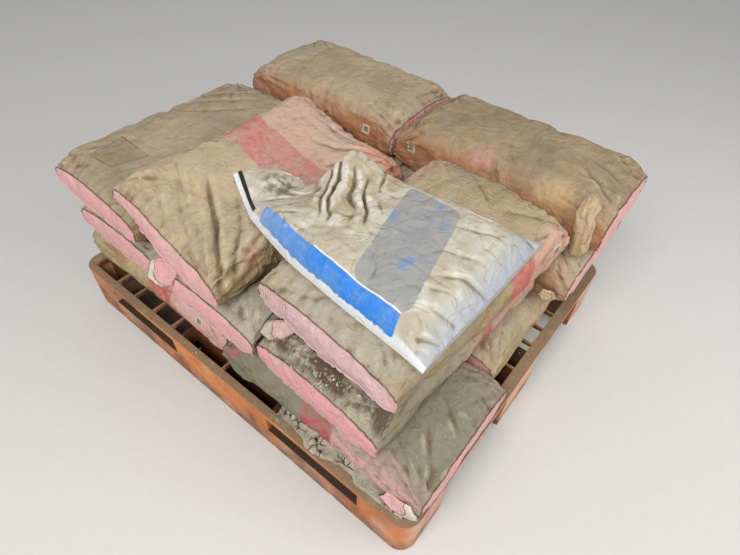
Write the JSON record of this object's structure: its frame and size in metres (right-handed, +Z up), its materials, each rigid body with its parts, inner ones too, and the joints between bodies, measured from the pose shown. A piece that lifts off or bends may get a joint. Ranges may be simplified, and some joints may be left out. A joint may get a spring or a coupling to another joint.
{
  "type": "pallet of sacks",
  "caption": "Moulded plastic pallet with open ribbed deck and fork windows, loaded with layers of filled paper sacks and a white bag on top.",
  "frame": {"origin": "on the floor under the pallet's centre, on the underside of its centre runner", "axes": "+Y along the pallet's long side, +X along its short side, +Z up"},
  "size_m": [1.046, 1.219, 0.6147],
  "materials": {
    "pallet_plastic": "moulded orange plastic, dusty and scuffed",
    "sack_paper": "kraft paper sack with faded pink and red zones, under grey dust",
    "bag_film": "white coated bag with a blue stripe and a grey-blue panel, dirty"
  },
  "bodies": {
    "root": {"pallet": "pallet_plastic", "bottom_sack_left_near": "sack_paper", "bottom_sack_left_far": "sack_paper", "bottom_sack_right_near": "sack_paper", "bottom_sack_right_middle": "sack_paper", "bottom_sack_right_far": "sack_paper", "middle_sack_near": "sack_paper", "middle_sack_centre": "sack_paper", "middle_sack_far": "sack_paper", "middle_sack_right_near": "sack_paper", "middle_sack_right_far": "sack_paper", "top_sack_near": "sack_paper", "top_sack_far": "sack_paper", "top_sack_riding": "sack_paper", "top_sack_right_near": "sack_paper", "top_sack_right_far": "sack_paper", "white_bag": "bag_film"}
  },
  "joints": []
}
